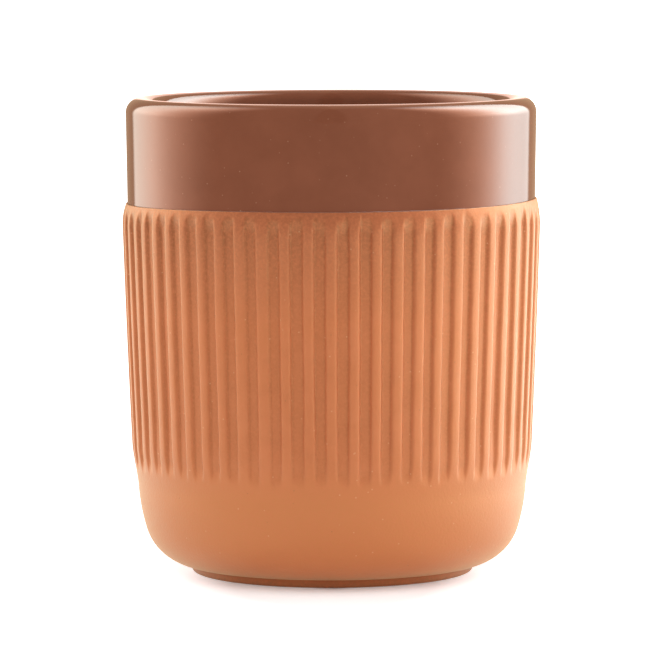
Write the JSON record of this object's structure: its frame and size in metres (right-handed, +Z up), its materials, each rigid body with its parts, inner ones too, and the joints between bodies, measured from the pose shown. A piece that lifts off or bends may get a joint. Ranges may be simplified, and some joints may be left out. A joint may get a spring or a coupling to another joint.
{
  "type": "mug",
  "caption": "Handleless terracotta mug with a fluted belt, a plain rounded base on a foot ring, and a glossy brown glaze over the inside, the lip and the band below it.",
  "frame": {"origin": "middle of the foot ring, on the surface the mug stands on", "axes": "+Z up along the mug's axis, -Y towards the viewer of the picture"},
  "size_m": [0.079, 0.079, 0.09],
  "materials": {
    "terracotta": "unglazed fired terracotta, matt, with fine grit and small pits",
    "brown_glaze": "glossy brown glaze, slightly see-through over the clay"
  },
  "bodies": {
    "root": {"terracotta_body": "terracotta", "glaze_coat": "brown_glaze"}
  },
  "joints": []
}
